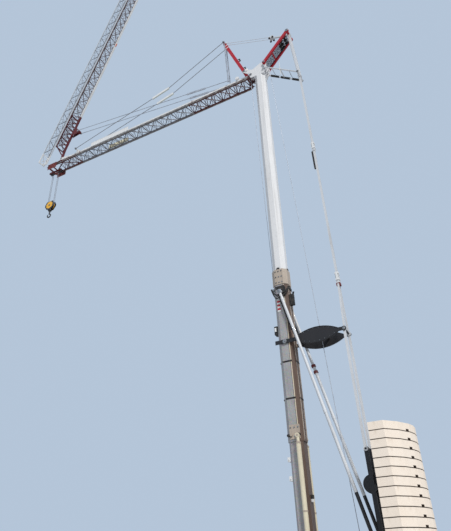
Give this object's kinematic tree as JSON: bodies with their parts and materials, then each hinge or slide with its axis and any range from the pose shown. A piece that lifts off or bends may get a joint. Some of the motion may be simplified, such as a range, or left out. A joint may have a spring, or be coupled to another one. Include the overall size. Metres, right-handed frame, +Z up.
{
  "type": "fast-erecting tower crane",
  "caption": "Self-erecting tower crane with a telescopic mast, a ballast stack on a slewing platform and a lattice jib caught while it unfolds",
  "frame": {"origin": "on the slewing axis at the ground the jack feet stand on", "axes": "+X along the inner jib away from the ballast, +Y to the left of someone who looks along +X, +Z up"},
  "size_m": [16.4332, 4.9324, 34.436],
  "materials": {
    "bare_steel": "worn",
    "beige_paint": "satin paint",
    "black_paint": "satin paint",
    "cast_grey": "machined",
    "concrete": "cast concrete",
    "dark_red_paint": "gloss paint",
    "galvanised": "galvanised",
    "grey_paint": "galvanised grey",
    "ram_cream": "satin paint",
    "red_paint": "gloss paint",
    "rope_steel": "greased wire rope",
    "white_paint": "gloss paint",
    "yellow_paint": "gloss paint"
  },
  "bodies": {
    "chassis": {"chassis_frame": "black_paint", "outrigger_arms": "black_paint", "outrigger_jacks": "galvanised", "jack_feet": "galvanised", "slewing_ring": "cast_grey"},
    "superstructure": {"turntable": "black_paint", "platform_frame": "black_paint", "ballast_lower": "concrete", "ballast_upper": "concrete", "hoist_winch": "cast_grey", "electric_cabinet": "white_paint", "hydraulic_unit": "grey_paint", "mast_foot": "black_paint", "lower_mast": "grey_paint", "mast_collar": "beige_paint", "mast_bracket": "beige_paint", "mast_rams": "ram_cream", "upper_mast": "white_paint", "mast_boxes": "white_paint", "rear_struts": "white_paint", "spreader_arms": "black_paint", "tie_bars_upper": "galvanised", "tie_bars_middle": "galvanised", "tie_bars_lower": "galvanised", "rear_lever": "black_paint", "mast_head": "white_paint", "rear_head_frame": "red_paint", "tie_spacer": "galvanised", "front_head_strut": "red_paint", "head_tackle": "white_paint", "mast_ropes": "rope_steel", "inner_jib_root": "dark_red_paint", "inner_jib_span": "grey_paint", "inner_jib_elbow": "dark_red_paint", "jib_rails": "bare_steel", "jib_stays": "rope_steel"},
    "middle_jib": {"middle_jib_root": "dark_red_paint", "middle_jib_span": "grey_paint", "middle_jib_end": "grey_paint"},
    "tip_jib": {"tip_jib_span": "grey_paint", "tip_jib_end": "white_paint"},
    "pendant_head": {"pendant_head": "rope_steel"},
    "pendant_tail": {"pendant_tail": "rope_steel"},
    "trolley": {"trolley_frame": "dark_red_paint", "trolley_wheels": "bare_steel"},
    "hook_block": {"hook_block": "yellow_paint", "block_sheaves": "cast_grey", "hoist_rope": "rope_steel"},
    "hook": {"hook": "cast_grey"}
  },
  "joints": [
    {"name": "slewing", "type": "hinge", "parent": "chassis", "child": "superstructure", "pos_m": [0, 0, 0.973], "axis": [0, 0, 1], "continuous": true},
    {"name": "jib_fold", "type": "hinge", "parent": "superstructure", "child": "middle_jib", "pos_m": [13.15, 0, 21.98], "axis": [0, 1, 0], "range_deg": [-5, 111.3]},
    {"name": "tip_fold", "type": "hinge", "parent": "middle_jib", "child": "tip_jib", "pos_m": [8.39141, 0.3125, 34.18516], "axis": [0.9317, 0, 0.3633], "range_deg": [0, 180]},
    {"name": "pendant_head_pivot", "type": "hinge", "parent": "superstructure", "child": "pendant_head", "pos_m": [2.82, 0, 24.96], "axis": [0, 1, 0], "range_deg": [-80.8, 4.2]},
    {"name": "pendant_tail_pivot", "type": "hinge", "parent": "middle_jib", "child": "pendant_tail", "pos_m": [12.11621, 0, 23.53038], "axis": [0, 1, 0], "range_deg": [-91, 4.7]},
    {"name": "trolley_travel", "type": "slide", "parent": "superstructure", "child": "trolley", "axis": [1, 0, 0], "range_m": [-9.45, 0]},
    {"name": "hoist", "type": "slide", "parent": "trolley", "child": "hook_block", "axis": [0, 0, 1], "range_m": [-17.85, 1.2], "deforming": ["hoist_rope"]},
    {"name": "hook_swivel", "type": "hinge", "parent": "hook_block", "child": "hook", "pos_m": [13.4, 0, 18.5], "axis": [0, 0, 1], "continuous": true}
  ],
  "couplings": [
    {"joint": "pendant_head_pivot", "follows": "jib_fold", "ratio": -0.72059},
    {"joint": "pendant_tail_pivot", "follows": "jib_fold", "ratio": -0.81258}
  ]
}
